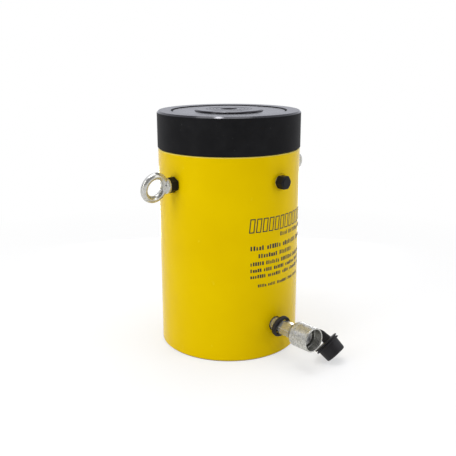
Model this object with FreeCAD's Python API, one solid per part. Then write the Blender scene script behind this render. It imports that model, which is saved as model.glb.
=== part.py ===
import FreeCAD, Part
import math
import os
from FreeCAD import Rotation, Vector

# Single acting hydraulic cylinder with a lock nut, standing on its base. Millimetres, +Z up.
# The origin is the centre of the base face. An azimuth runs from the front (-Y) towards +X.

# Cylinder body
body_d = 170.0
wall_t = 17.5
base_t = 32.0
base_chamfer = 1.5
rim_chamfer = 1.0
bore_lead = 1.2
stroke = 150.0
spot_d = 20.0
spot_depth = 0.6

# Clearances: a head ring in the bore, a thread or plug in its hole, a ring in its groove
head_ring_clear = 0.04
thread_clear = 0.1
ring_clear = 0.1
loose_clear = 0.3

# Plunger, with its head grooves counted up from its own lower face
plunger_clear = 0.1
plunger_below_nut = 1.0
head_relief_t = 5.4
head_relief_h = 15.0
head_land = 4.0
head_chamfer = 1.5
plunger_chamfer = 1.0
guide_t = 3.0
guide_lower_h = 5.0
guide_upper_h = 12.0
guide_split = 3.0
seal_t = 6.0
seal_h = 8.0
seal_lip = 1.6
backup_h = 2.2
groove_land = 2.5
wiper_t = 5.0
wiper_h = 6.0
wiper_lip = 1.8
wiper_below_rim = 2.5

# Lock nut
nut_overhang = 0.5
nut_h = 44.0
thread_root_gap = 0.6
nut_chamfer = 2.0
nut_lower_chamfer = 1.5
nut_lead = 1.2

# Saddle
saddle_d = 81.0
saddle_rise = 2.0
saddle_head_h = 9.0
saddle_chamfer = 1.0
spigot_d = 44.0
spigot_h = 22.0
spigot_chamfer = 1.5
saddle_ring_d = 54.0
saddle_groove_w = 1.6
saddle_groove_depth = 0.8
saddle_groove_pitch = 4.0
saddle_grooves = 4
saddle_centre_d = 21.0
saddle_centre_depth = 4.0
saddle_seal_section = 3.5

# Lifting eye bolts and their hex nuts
eye_azimuth = -47.3
eye_below_rim = 35.0
eye_thread_d = 8.0
eye_thread_depth = 13.0
eye_ring_d = 36.0
eye_hole_d = 20.0
eye_seat_d = 18.0
eye_seat_h = 3.5
eye_left_turn = -13.0
eye_rear_turn = 24.0
hex_af = 16.0
hex_h = 10.3

# Overflow port, which limits the stroke
overflow_azimuth = 42.7
overflow_below_rim = 31.0
overflow_thread_d = 10.0
overflow_depth = 11.0
overflow_hex_af = 14.6
overflow_passage_d = 4.0
washer_d = 14.4
washer_t = 1.0
plug_face_d = 11.0
plug_face_t = 0.6

# Oil port and coupler body, whose stations are counted out from the face of the cylinder body
port_azimuth = 40.0
port_height = 40.0
port_thread_d = 18.0
port_depth = 14.0
port_passage_d = 8.0
port_thread_out = 8.0
neck_d = 15.4
neck_len = 5.2
coupler_hex_af = 16.0
coupler_hex_len = 19.0
coupler_hex_turn = -16.0
journal_d = 20.0
nose_d = 19.0
nose_len = 19.8
nose_chamfer = 0.8
oil_passage_d = 7.0
chamber_d = 13.0
chamber_len = 25.0
seat_len = 6.0
seat_hole_d = 8.6
nose_ring_section = 2.0
nose_ring_back = 3.6

# Turning collar
collar_d = 28.4
collar_len = 30.6
collar_wall = 4.0
collar_back_d = 21.8
collar_back_chamfer = 5.0
collar_mouth_d = 25.0
collar_mouth_len = 10.0
collar_thread_d = 24.0
collar_thread_len = 13.0
collar_relief = 0.7
collar_rim_chamfer = 0.9
collar_line = 9.3
collar_line_w = 1.0
collar_line_depth = 0.5
wire_d = 1.8
wire_gap_angle = 40.0

# Valve
poppet_d = 11.6
poppet_tip_out = 1.0
poppet_rim = 2.2
poppet_stem_d = 5.0
poppet_stem_gap = 1.0
poppet_tip_clear = 0.5
valve_travel = 3.5
poppet_seal_section = 1.4
spring_wire_d = 1.2
spring_turns = 5.0
spring_gap = 0.35

# Dust plug moulding: ring, strap and plug
loop_d = 24.6
loop_round = 1.2
strap_w = 10.0
strap_t = 3.0
strap_side = 22.0
strap_drop = 5.0
strap_bend_r = 7.0
strap_end_up = 4.0
strap_end_run = 14.0
plug_nose_d = 25.4
plug_root_d = 27.4
plug_len = 14.5
plug_round = 1.5
flange_d = 32.0
flange_t = 1.7
flange_slot = 1.4
flange_slot_d = 28.6
plug_out = 60.6
plug_aside = 42.2
plug_down_angle = 41.5
plug_side_angle = 22.0
floor_clear = 0.3

# Places worked out from the sizes above
body_r = body_d / 2
bore_r = body_r - wall_t
plunger_r = bore_r - plunger_clear
ring_r = bore_r - head_ring_clear
guide_lower_z = base_t + head_relief_h + head_land
seal_z = guide_lower_z + guide_lower_h + groove_land
backup_z = seal_z + seal_h
guide_upper_z = backup_z + backup_h + groove_land
overflow_height = seal_z + stroke + groove_land
body_h = overflow_height + overflow_below_rim
eye_height = body_h - eye_below_rim
nut_top = body_h + nut_h
plunger_top = nut_top - plunger_below_nut
saddle_top = plunger_top + saddle_rise
wiper_top = body_h - wiper_below_rim
spot_r = body_r - spot_depth
collar_back = body_r + port_thread_out + neck_len + coupler_hex_len + loose_clear
collar_mouth = collar_back + collar_len
journal_end = collar_back + collar_wall + wire_d + 2 * loose_clear
nose_end = collar_back - loose_clear + nose_len
chamber_floor = nose_end - chamber_len
seat_back = nose_end - seat_len
poppet_back = seat_back - poppet_rim
stem_end = chamber_floor + valve_travel + poppet_stem_gap
loop_mid = body_r + port_thread_out + neck_len / 2


def turned(outline, sweep=360.0):
    """Solid of revolution about Z from (radius, height) points."""
    points = [Vector(r, 0, z) for r, z in outline]
    face = Part.Face(Part.makePolygon(points + points[:1]))
    return face.revolve(Vector(), Vector(0, 0, 1), sweep)


def ring(inner_r, outer_r, low, high, edge=0.0):
    """Ring of rectangular section, with its four corners broken by edge."""
    return turned([
        (inner_r + edge, low), (outer_r - edge, low), (outer_r, low + edge), (outer_r, high - edge),
        (outer_r - edge, high), (inner_r + edge, high), (inner_r, high - edge), (inner_r, low + edge),
    ] if edge else [(inner_r, low), (outer_r, low), (outer_r, high), (inner_r, high)])


def rod(radius, low, high, edge=0.0):
    """Round bar along Z, with its upper edge broken by edge."""
    tip = [(radius, high - edge), (radius - edge, high)] if edge else [(radius, high)]
    return turned([(0, low), (radius, low)] + tip + [(0, high)])


def hexagon(across_flats, low, high, turn=0.0):
    """Hexagonal bar along Z. At no turn a corner lies on the Y axis."""
    corner_r = across_flats / math.sqrt(3)
    angles = [math.radians(turn + 30 + 60 * i) for i in range(7)]
    points = [Vector(corner_r * math.cos(a), corner_r * math.sin(a), low) for a in angles]
    return Part.Face(Part.makePolygon(points)).extrude(Vector(0, 0, high - low))


def hex_head(across_flats, low, high, turn=0.0):
    """Hexagon whose outer corners are turned off at 30 degrees."""
    corner_r = across_flats / math.sqrt(3)
    flat_r = across_flats / 2 * 0.96
    drop = (corner_r - flat_r) * math.tan(math.radians(30))
    return hexagon(across_flats, low, high, turn).common(turned([
        (0, low), (corner_r, low), (corner_r, high - drop), (flat_r, high), (0, high),
    ]))


def radial(shape, azimuth, height):
    """Lay a shape made about Z along the radius at an azimuth; its X turns up."""
    a = math.radians(azimuth)
    outward = Vector(math.sin(a), -math.cos(a), 0)
    up = Vector(0, 0, 1)
    frame = FreeCAD.Placement(Vector(0, 0, height), Rotation(up, outward.cross(up), outward, "ZXY"))
    placed = shape.copy()
    placed.Placement = frame.multiply(shape.Placement)
    return placed


def rolled(shape, angle):
    """Turn a shape about Z."""
    placed = shape.copy()
    placed.rotate(Vector(), Vector(0, 0, 1), angle)
    return placed


def cylinder_body():
    """Bored cup with its base, wiper groove, ports and spot faces."""
    groove_r = bore_r + wiper_t + ring_clear
    wiper_low = wiper_top - wiper_h - ring_clear
    shell = turned([
        (0, 0), (body_r - base_chamfer, 0), (body_r, base_chamfer), (body_r, body_h - rim_chamfer),
        (body_r - rim_chamfer, body_h), (bore_r + bore_lead, body_h), (bore_r, body_h - bore_lead),
        (bore_r, wiper_top + ring_clear), (groove_r, wiper_top + ring_clear), (groove_r, wiper_low),
        (bore_r, wiper_low), (bore_r, base_t), (0, base_t),
    ])
    beyond = body_r + 1
    spot = rod(spot_d / 2, spot_r, beyond)
    eye_hole = rod(eye_thread_d / 2 + thread_clear, body_r - eye_thread_depth - 1, beyond)
    overflow_hole = rod(overflow_thread_d / 2 + thread_clear, spot_r - overflow_depth, beyond)
    overflow_passage = rod(overflow_passage_d / 2, bore_r - 1, beyond)
    port_hole = rod(port_thread_d / 2 + thread_clear, body_r - port_depth, beyond)
    port_passage = rod(port_passage_d / 2, bore_r - 1, beyond)
    cuts = [radial(spot.fuse(eye_hole), eye_azimuth + side, eye_height) for side in (0, 180)]
    cuts += [radial(s, overflow_azimuth, overflow_height) for s in (spot, overflow_hole, overflow_passage)]
    cuts += [radial(s, port_azimuth, port_height) for s in (port_hole, port_passage)]
    return shell.cut(cuts)


def wiper_ring():
    """Wiper with one lip that leans up and in to the plunger."""
    outer = bore_r + wiper_t
    inner = bore_r
    low = wiper_top - wiper_h
    return turned([
        (inner + 0.6, low), (outer, low), (outer, wiper_top), (inner + wiper_lip + 1.2, wiper_top),
        (inner + wiper_lip, wiper_top - 1.6), (inner + 0.5, wiper_top), (inner, wiper_top - 0.4),
        (inner + 0.6, wiper_top - 2.0),
    ])


def groove(depth, low, height):
    """Cutter for a groove round the plunger."""
    return ring(plunger_r - depth - ring_clear, plunger_r + 1, low, low + height)


def plunger():
    """Ram with its head relief, four head grooves and the saddle's seat."""
    seat_z = saddle_top - saddle_head_h
    spigot_z = seat_z - spigot_h
    seat_r = saddle_d / 2 + loose_clear
    socket_r = spigot_d / 2 + ring_clear
    relief_r = plunger_r - head_relief_t
    ram = turned([
        (0, base_t), (relief_r, base_t), (relief_r, base_t + head_relief_h),
        (plunger_r - head_chamfer, base_t + head_relief_h),
        (plunger_r, base_t + head_relief_h + head_chamfer), (plunger_r, plunger_top - plunger_chamfer),
        (plunger_r - plunger_chamfer, plunger_top), (seat_r, plunger_top), (seat_r, seat_z),
        (socket_r + spigot_chamfer, seat_z), (socket_r, seat_z - spigot_chamfer),
        (socket_r, spigot_z - loose_clear), (0, spigot_z - loose_clear),
    ])
    return ram.cut([
        groove(guide_t, guide_lower_z, guide_lower_h),
        groove(seal_t, seal_z, seal_h + backup_h),
        groove(guide_t, guide_upper_z, guide_upper_h),
    ])


def guide_ring(low, height):
    """Bearing strip bent round the plunger, cut through where its ends meet."""
    strip = ring(plunger_r - guide_t, ring_r, low + ring_clear, low + height - ring_clear)
    cut_h = height + 2
    split = Part.makeBox(guide_t * 3, guide_split, cut_h, Vector(plunger_r - 2 * guide_t, 0, low - 1))
    return strip.cut(split)


def piston_seal():
    """U-cup whose two lips open down to the oil."""
    inner = plunger_r - seal_t
    low = seal_z + ring_clear
    high = seal_z + seal_h - ring_clear
    mid = (inner + ring_r) / 2
    return turned([
        (inner, low), (inner + seal_lip, low), (mid, low + seal_h * 0.45), (ring_r - seal_lip, low),
        (ring_r, low + 0.4), (ring_r, low + seal_h * 0.35), (ring_r - 0.3, low + seal_h * 0.5),
        (ring_r - 0.3, high), (inner, high),
    ])


def backup_ring():
    """Hard ring above the seal, which keeps it out of the gap."""
    return ring(plunger_r - seal_t, ring_r, backup_z, backup_z + backup_h - ring_clear)


def saddle_groove(radius):
    """Cutter for one V groove in the saddle's face."""
    half = saddle_groove_w / 2
    return turned([
        (radius - half, saddle_top), (radius, saddle_top - saddle_groove_depth), (radius + half, saddle_top),
        (radius + half, saddle_top + 1), (radius - half, saddle_top + 1),
    ])


def saddle():
    """Load cap with a spigot, a seal groove, turned rings and a centre recess."""
    seat_z = saddle_top - saddle_head_h
    low = seat_z - spigot_h
    head_r = saddle_d / 2
    stem_r = spigot_d / 2
    seal_r = saddle_seal_section / 2
    seal_mid = seat_z - spigot_h / 2
    centre_r = saddle_centre_d / 2
    cap = turned([
        (0, low), (stem_r - spigot_chamfer, low), (stem_r, low + spigot_chamfer), (stem_r, seal_mid - seal_r),
        (stem_r - seal_r, seal_mid - seal_r), (stem_r - seal_r, seal_mid + seal_r), (stem_r, seal_mid + seal_r),
        (stem_r, seat_z), (head_r, seat_z), (head_r, saddle_top - saddle_chamfer),
        (head_r - saddle_chamfer, saddle_top), (centre_r, saddle_top),
        (centre_r * 0.8, saddle_top - saddle_centre_depth), (0, saddle_top - saddle_centre_depth),
    ])
    radii = [saddle_ring_d / 2 - saddle_groove_pitch * i for i in range(saddle_grooves)]
    return cap.cut([saddle_groove(r) for r in radii])


def saddle_o_ring():
    """Ring in the spigot's groove, flattened a little by the socket."""
    seat_z = saddle_top - saddle_head_h
    inner = (spigot_d - saddle_seal_section) / 2 + ring_clear / 2
    half = saddle_seal_section / 2 - ring_clear
    mid = seat_z - spigot_h / 2
    return ring(inner, spigot_d / 2 + ring_clear / 2, mid - half, mid + half, 0.4)


def lock_nut():
    """Ring nut with chamfered edges and thread lead-ins."""
    outer = body_r + nut_overhang
    inner = plunger_r + thread_root_gap
    return turned([
        (inner + nut_lead, body_h), (outer - nut_lower_chamfer, body_h), (outer, body_h + nut_lower_chamfer),
        (outer, nut_top - nut_chamfer), (outer - nut_chamfer, nut_top), (inner + nut_lead, nut_top),
        (inner, nut_top - nut_lead), (inner, body_h + nut_lead),
    ])


def eye_nut():
    """Hex nut on its spot face, with a plain bore in place of its thread."""
    hole_r = eye_thread_d / 2 + thread_clear
    blank = hex_head(hex_af, spot_r, spot_r + hex_h, 30)
    return blank.cut(rod(hole_r, spot_r - 1, spot_r + hex_h + 1))


def eye_bolt(turn):
    """Lifting eye: threaded shank, round seat and a ring that stands on it."""
    seat = spot_r + hex_h
    ring_mid_r = (eye_ring_d + eye_hole_d) / 4
    section_r = (eye_ring_d - eye_hole_d) / 4
    eye = Part.makeTorus(ring_mid_r, section_r, Vector(0, 0, seat + eye_ring_d / 2), Vector(0, 1, 0))
    flare = turned([
        (0, seat), (eye_seat_d / 2 - 0.5, seat), (eye_seat_d / 2, seat + 0.5), (eye_seat_d / 2, seat + eye_seat_h),
        (section_r + 2.2, seat + eye_seat_h + 1.6), (section_r + 0.4, seat + section_r * 1.6),
        (0, seat + section_r * 1.6),
    ])
    shank = turned([
        (0, body_r - eye_thread_depth), (eye_thread_d / 2 - 1, body_r - eye_thread_depth),
        (eye_thread_d / 2, body_r - eye_thread_depth + 1), (eye_thread_d / 2, seat), (0, seat),
    ])
    return rolled(eye.fuse([flare, shank]).removeSplitter(), turn)


def overflow_plug():
    """Hex plug with a low turned face, on its washer."""
    seat = spot_r + washer_t
    face = spot_r + hex_h
    head = hex_head(overflow_hex_af, seat, face, 0)
    crown = rod(plug_face_d / 2, face, face + plug_face_t, 0.2)
    shank = rod(overflow_thread_d / 2, spot_r - overflow_depth + 1, seat)
    return head.fuse([crown, shank]).removeSplitter()


def plug_seal_washer():
    """Flat washer between the overflow plug and its spot face."""
    return ring(overflow_thread_d / 2 + ring_clear, washer_d / 2, spot_r, spot_r + washer_t)


def coupler_body():
    """Male thread, neck, hex, collar journal and valve nose, bored through."""
    thread_r = port_thread_d / 2
    inner_end = body_r - port_depth + 1
    neck_low = body_r + port_thread_out
    hex_low = neck_low + neck_len
    hex_high = hex_low + coupler_hex_len
    journal_r = journal_d / 2
    nose_r = nose_d / 2
    wire_low = collar_back + collar_wall + loose_clear
    wire_r = journal_r - wire_d / 2
    ring_low = nose_end - nose_ring_back - nose_ring_section / 2
    ring_high = ring_low + nose_ring_section
    ring_root = nose_r - nose_ring_section * 0.7
    chamber_r = chamber_d / 2
    core = turned([
        (0, inner_end), (thread_r - 1.2, inner_end), (thread_r, inner_end + 1.2), (thread_r, neck_low - 0.8),
        (neck_d / 2, neck_low), (neck_d / 2, hex_high - 0.3), (journal_r, hex_high - 0.3), (journal_r, wire_low),
        (wire_r, wire_low), (wire_r, wire_low + wire_d), (journal_r, wire_low + wire_d), (journal_r, journal_end),
        (nose_r, journal_end + 0.6), (nose_r, ring_low), (ring_root, ring_low), (ring_root, ring_high),
        (nose_r, ring_high), (nose_r, nose_end - nose_chamfer), (nose_r - nose_chamfer, nose_end), (0, nose_end),
    ])
    hexed = hex_head(coupler_hex_af, hex_low, hex_high, coupler_hex_turn)
    bore = rod(oil_passage_d / 2, inner_end - 1, nose_end)
    chamber = rod(chamber_r, chamber_floor, nose_end + 1)
    return core.fuse(hexed).removeSplitter().cut([bore, chamber])


def coupler_o_ring():
    """Seal round the coupler's nose."""
    mid = nose_end - nose_ring_back
    root = nose_d / 2 - nose_ring_section * 0.7 + ring_clear
    half = nose_ring_section / 2 - ring_clear
    return ring(root, root + 2 * half, mid - half, mid + half, 0.45)


def valve_seat():
    """Ring in the chamber's mouth with a conical face for the poppet."""
    outer = chamber_d / 2 - thread_clear
    hole = seat_hole_d / 2
    return turned([
        (outer - 0.8, seat_back), (outer, seat_back), (outer, nose_end), (hole + 0.6, nose_end),
        (hole, nose_end - 0.6), (hole, nose_end - seat_len * 0.45),
    ])


def valve_poppet():
    """Mushroom valve: tip through the seat, cone, rim and guide stem."""
    tip_r = seat_hole_d / 2 - poppet_tip_clear
    tip = nose_end + poppet_tip_out
    rim_r = poppet_d / 2 - 0.2
    cone_top = nose_end - seat_len * 0.45 - ring_clear
    seal_r = poppet_seal_section / 2
    groove_low = seat_back - seal_r - 0.1
    stem_r = poppet_stem_d / 2
    return turned([
        (0, stem_end), (stem_r - 0.4, stem_end), (stem_r, stem_end + 0.4), (stem_r, poppet_back),
        (rim_r, poppet_back),
        (rim_r, groove_low - seal_r - 0.1), (rim_r - seal_r, groove_low - seal_r - 0.1),
        (rim_r - seal_r, groove_low + seal_r), (rim_r - 0.8, groove_low + seal_r), (rim_r - 0.8, seat_back - 0.15),
        (tip_r, cone_top - 0.5), (tip_r, tip - 0.5), (tip_r - 0.5, tip), (0, tip),
    ])


def poppet_seal():
    """Soft ring in the poppet's rim groove."""
    rim_r = poppet_d / 2 - 0.2
    seal_r = poppet_seal_section / 2
    mid = seat_back - seal_r - 0.1
    return ring(rim_r - seal_r + ring_clear / 2, rim_r, mid - seal_r, mid + seal_r - ring_clear, 0.2)


def valve_spring():
    """Coil spring between the chamber floor and the poppet's rim."""
    wire_r = spring_wire_d / 2
    coil_r = poppet_stem_d / 2 + spring_gap + spring_wire_d
    low = chamber_floor + wire_r + 0.05
    high = poppet_back - wire_r - 0.05
    helix = Part.makeHelix((high - low) / spring_turns, high - low, coil_r)
    section = Part.Wire(Part.Circle(Vector(coil_r, 0, 0), Vector(0, 1, 0), wire_r).toShape())
    coil = Part.Wire(helix).makePipeShell([section], True, True)
    coil.translate(Vector(0, 0, low))
    return coil


def collar_retaining_ring():
    """Open wire ring in the journal's groove, in front of the collar's back wall."""
    mid = collar_back + collar_wall + loose_clear + wire_d / 2
    wire_r = wire_d / 2 - ring_clear
    coil_r = journal_d / 2
    section = Part.Face(Part.Wire(Part.Circle(Vector(coil_r, 0, mid), Vector(0, 1, 0), wire_r).toShape()))
    return section.revolve(Vector(), Vector(0, 0, 1), 360 - wire_gap_angle)


def coupler_collar():
    """Sleeve with a chamfered back, a turned line and a threaded mouth with a chamfered rim."""
    outer = collar_d / 2
    bore = journal_d / 2 + loose_clear
    thread = collar_thread_d / 2
    mouth = collar_mouth_d / 2
    cavity = thread + collar_relief
    thread_high = collar_mouth - collar_mouth_len
    thread_low = thread_high - collar_thread_len
    line = collar_back + collar_line
    half = collar_line_w / 2
    return turned([
        (bore, collar_back), (collar_back_d / 2, collar_back), (outer, collar_back + collar_back_chamfer),
        (outer, line - half), (outer - collar_line_depth, line - half * 0.4),
        (outer - collar_line_depth, line + half * 0.4), (outer, line + half),
        (outer, collar_mouth - collar_rim_chamfer), (outer - collar_rim_chamfer * 0.8, collar_mouth),
        (mouth + 0.4, collar_mouth), (mouth, collar_mouth - 0.6), (mouth, thread_high),
        (thread, thread_high - mouth + thread), (thread, thread_low), (cavity, thread_low - collar_relief),
        (cavity, collar_back + collar_wall), (bore, collar_back + collar_wall),
    ])


def plug_profile():
    """Outline of the plug and its two flanges, from the nose at 0 upwards."""
    nose = plug_nose_d / 2
    root = plug_root_d / 2
    lip = flange_d / 2
    slot = flange_slot_d / 2
    top = plug_len + 2 * flange_t + flange_slot
    return [
        (0, 0), (nose - plug_round, 0), (nose - plug_round * 0.3, plug_round * 0.3), (nose, plug_round),
        (root, plug_len), (lip, plug_len), (lip, plug_len + flange_t), (slot, plug_len + flange_t),
        (slot, plug_len + flange_t + flange_slot), (lip, plug_len + flange_t + flange_slot), (lip, top), (0, top),
    ]


def strap_path(points, radius):
    """Straight runs joined by tangent arcs."""
    edges = []
    last = points[0]
    for before, corner, after in zip(points, points[1:], points[2:]):
        back = (before - corner).normalize()
        ahead = (after - corner).normalize()
        half = back.getAngle(ahead) / 2
        reach = radius / math.tan(half)
        middle = (back + ahead).normalize()
        start = corner + back * reach
        end = corner + ahead * reach
        bulge = corner + middle * (radius / math.sin(half) - radius)
        edges += [Part.LineSegment(last, start).toShape(), Part.Arc(start, bulge, end).toShape()]
        last = end
    return Part.Wire(edges + [Part.LineSegment(last, points[-1]).toShape()])


def dust_plug():
    """One moulding, in the coupler's frame: X up, -Y to the far side, Z outwards."""
    down = math.radians(plug_down_angle)
    side = math.radians(plug_side_angle)
    ahead = Vector(-math.sin(down), -math.cos(down) * math.sin(side), math.cos(down) * math.cos(side))
    rise = (Vector(1, 0, 0) - ahead * ahead.x).normalize()
    nose_drop = max(r * math.cos(down) - h * math.sin(down) for r, h in plug_profile())
    nose_up = nose_drop + floor_clear - port_height
    nose = Vector(nose_up, -plug_aside, body_r + plug_out)
    plug = turned(plug_profile())
    plug.Placement = FreeCAD.Placement(nose, Rotation(Vector(0, 0, 1), ahead * -1))
    loop_r = neck_d / 2 + loose_clear
    loop_half = neck_len / 2 - loose_clear
    loop = ring(loop_r, loop_d / 2, loop_mid - loop_half, loop_mid + loop_half, loop_round)
    flange_mid = nose - ahead * (plug_len + flange_t + flange_slot / 2)
    start = Vector(-strap_drop / 2, -(loop_r + loop_d / 2) / 2, loop_mid)
    corner = Vector(-strap_drop, -strap_side, loop_mid + 1)
    end = flange_mid + rise * strap_end_up
    path = strap_path([start, corner, end - ahead * strap_end_run, end], strap_bend_r)
    half_w = strap_w / 2
    half_t = strap_t / 2
    flat = half_w - half_t
    along = (corner - start).normalize()
    thick = Vector(0, 0, 1)
    wide = along.cross(thick).normalize()
    a, b = start + wide * flat, start - wide * flat
    section = Part.Wire([
        Part.LineSegment(b + thick * half_t, a + thick * half_t).toShape(),
        Part.Arc(a + thick * half_t, a + wide * half_t, a - thick * half_t).toShape(),
        Part.LineSegment(a - thick * half_t, b - thick * half_t).toShape(),
        Part.Arc(b - thick * half_t, b - wide * half_t, b + thick * half_t).toShape(),
    ])
    strap = path.makePipeShell([section], True, False)
    return plug.fuse([loop, strap]).removeSplitter()


def main():
    """Build every piece and write one file for each."""
    os.makedirs("parts", exist_ok=True)
    rear = eye_azimuth + 180
    at_port = {
        "coupler_body": coupler_body(), "coupler_o_ring": coupler_o_ring(), "valve_seat": valve_seat(),
        "valve_spring": valve_spring(), "collar_retaining_ring": collar_retaining_ring(),
        "coupler_collar": coupler_collar(), "valve_poppet": valve_poppet(), "poppet_seal": poppet_seal(),
        "dust_plug": dust_plug(),
    }
    parts = {
        "cylinder_body": cylinder_body(),
        "wiper_ring": wiper_ring(),
        "plunger": plunger(),
        "guide_ring_lower": guide_ring(guide_lower_z, guide_lower_h),
        "guide_ring_upper": guide_ring(guide_upper_z, guide_upper_h),
        "piston_seal": piston_seal(),
        "backup_ring": backup_ring(),
        "saddle": saddle(),
        "saddle_o_ring": saddle_o_ring(),
        "lock_nut": lock_nut(),
        "eye_nut_left": radial(eye_nut(), eye_azimuth, eye_height),
        "eye_nut_rear": radial(eye_nut(), rear, eye_height),
        "eye_bolt_left": radial(eye_bolt(eye_left_turn), eye_azimuth, eye_height),
        "eye_bolt_rear": radial(eye_bolt(eye_rear_turn), rear, eye_height),
        "overflow_plug": radial(overflow_plug(), overflow_azimuth, overflow_height),
        "plug_seal_washer": radial(plug_seal_washer(), overflow_azimuth, overflow_height),
    }
    parts.update({name: radial(shape, port_azimuth, port_height) for name, shape in at_port.items()})
    for name, shape in parts.items():
        solid = shape.Solids[0] if len(shape.Solids) == 1 else shape
        solid.exportStep(f"parts/{name}.step")
        print(name, len(shape.Solids), shape.isValid(), round(shape.Volume))


main()
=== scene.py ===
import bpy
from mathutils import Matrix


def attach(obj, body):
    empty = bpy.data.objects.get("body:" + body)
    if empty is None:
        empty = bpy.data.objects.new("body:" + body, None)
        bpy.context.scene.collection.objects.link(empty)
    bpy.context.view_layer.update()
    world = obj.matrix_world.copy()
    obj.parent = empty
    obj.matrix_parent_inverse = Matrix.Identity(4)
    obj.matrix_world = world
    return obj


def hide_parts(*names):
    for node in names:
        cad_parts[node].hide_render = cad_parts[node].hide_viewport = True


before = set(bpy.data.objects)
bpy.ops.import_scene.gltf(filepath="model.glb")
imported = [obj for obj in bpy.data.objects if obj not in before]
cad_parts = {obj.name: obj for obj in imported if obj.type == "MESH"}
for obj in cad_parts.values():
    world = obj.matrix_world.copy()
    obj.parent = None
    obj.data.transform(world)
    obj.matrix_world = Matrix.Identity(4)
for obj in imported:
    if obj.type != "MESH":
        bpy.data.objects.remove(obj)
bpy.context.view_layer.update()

import math
import random

import bmesh
import bpy
from mathutils import Matrix, Vector

# Shapes are drawn in millimetres about their own axis, then placed in metres in the row frame.
mm = 0.001
scene = bpy.context.scene


def sideFrame(azimuth, height):
    # local Z points out of the barrel at that azimuth, local X points up
    a = math.radians(azimuth)
    out = Vector((math.sin(a), -math.cos(a), 0))
    up = Vector((0, 0, 1))
    turn = Matrix((up, out.cross(up), out)).transposed().to_4x4()
    return Matrix.Translation((0, 0, height * mm)) @ turn


def softened(outline, soft, steps=3):
    # every corner off the axis becomes a small arc; a third number in a point is its own radius
    points = []
    for i, corner in enumerate(outline):
        here = Vector(corner[:2])
        before = Vector(outline[i - 1][:2]) - here
        after = Vector(outline[(i + 1) % len(outline)][:2]) - here
        radius = corner[2] if len(corner) > 2 else soft
        angle = before.angle(after)
        if here.x < 1e-6 or radius <= 0 or angle > math.radians(177):
            points.append((here.x, here.y))
            continue
        reach = min(radius / math.tan(angle / 2), before.length * 0.45, after.length * 0.45)
        radius = reach * math.tan(angle / 2)
        start = here + before.normalized() * reach
        end = here + after.normalized() * reach
        inward = (before.normalized() + after.normalized()).normalized()
        middle = here + inward * radius / math.sin(angle / 2)
        one, two = (start - middle).normalized(), (end - middle).normalized()
        for k in range(steps + 1):
            point = middle + one.slerp(two, k / steps) * radius
            points.append((point.x, point.y))
    return points


def lathe(outline, segments=192):
    # outline is a closed list of (radius, height), or a function that gives it at an angle
    shape = bmesh.new()
    angles = segments if isinstance(segments, list) else [2 * math.pi * i / segments for i in range(segments)]
    poles = {}
    columns = []
    for angle in angles:
        column = []
        for i, (r, z) in enumerate(outline(angle) if callable(outline) else outline):
            if r < 1e-6:
                if i not in poles:
                    poles[i] = shape.verts.new((0, 0, z))
                column.append(poles[i])
            else:
                column.append(shape.verts.new((r * math.cos(angle), r * math.sin(angle), z)))
        columns.append(column)
    for one, two in zip(columns, columns[1:] + columns[:1]):
        for i in range(len(one)):
            j = (i + 1) % len(one)
            corners = list(dict.fromkeys([one[i], two[i], two[j], one[j]]))
            if len(corners) > 2:
                shape.faces.new(corners)
    bmesh.ops.recalc_face_normals(shape, faces=shape.faces)
    return shape


def hexHead(size, low, high, turn=0.0, hole=0.0, edge=0.3):
    # hexagon with its outer corners turned off at 30 degrees; flats face turn + 60 degrees times n
    half = size / 2
    flat = half * 0.96
    steps = [-30, -29, -27.5, -25, -20, -12, 0, 12, 20, 25, 27.5, 29]
    angles = [math.radians(turn + 60 * side + step) for side in range(6) for step in steps]

    def outlineAt(angle):
        off = (math.degrees(angle) - turn + 30) % 60 - 30
        r = min(half / math.cos(math.radians(off)), half / math.cos(math.radians(30)) - 0.18)
        shoulder = high - (r - flat) * math.tan(math.radians(30))
        points = [(hole, low), (r, low), (r, shoulder), (flat, high), (hole, high)]
        return softened(points, edge, 2)

    return lathe(outlineAt, angles)


def joined(*shapes):
    whole = bmesh.new()
    for shape in shapes:
        data = bpy.data.meshes.new("part")
        if isinstance(shape, bmesh.types.BMesh):
            shape.to_mesh(data)
            shape.free()
        else:
            bpy.data.meshes.remove(data)
            data = shape
        whole.from_mesh(data)
        bpy.data.meshes.remove(data)
    return whole


def settle(piece):
    # turns the object's live modifiers into a plain mesh
    graph = bpy.context.evaluated_depsgraph_get()
    data = bpy.data.meshes.new_from_object(
        piece.evaluated_get(graph), preserve_all_data_layers=True, depsgraph=graph)
    old = piece.data
    piece.modifiers.clear()
    piece.data = data
    data.name = piece.name
    bpy.data.meshes.remove(old)


def looseObject(name, shape, place=None):
    data = bpy.data.meshes.new(name)
    shape.to_mesh(data)
    shape.free()
    if place is not None:
        data.transform(place @ Matrix.Scale(mm, 4))
    thing = bpy.data.objects.new(name, data)
    scene.collection.objects.link(thing)
    return thing


def finishPiece(piece, material, body, stands=(), sharp=32):
    data = piece.data
    data.polygons.foreach_set("use_smooth", [True] * len(data.polygons))
    data.set_sharp_from_angle(angle=math.radians(sharp))
    weigh = piece.modifiers.new("weigh", "WEIGHTED_NORMAL")
    weigh.keep_sharp = True
    settle(piece)
    materials = material if isinstance(material, list) else [material]
    piece.data.materials.clear()
    for one in materials:
        piece.data.materials.append(one)
    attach(piece, body)
    if stands:
        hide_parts(*stands)
    print("piece", piece.name, len(piece.data.polygons), "faces")
    return piece


def makePiece(name, shape, material, body, stands=(), place=None, sharp=32):
    bmesh.ops.remove_doubles(shape, verts=shape.verts, dist=1e-4)
    piece = looseObject(name, shape, place or Matrix())
    return finishPiece(piece, material, body, stands, sharp)


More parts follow.
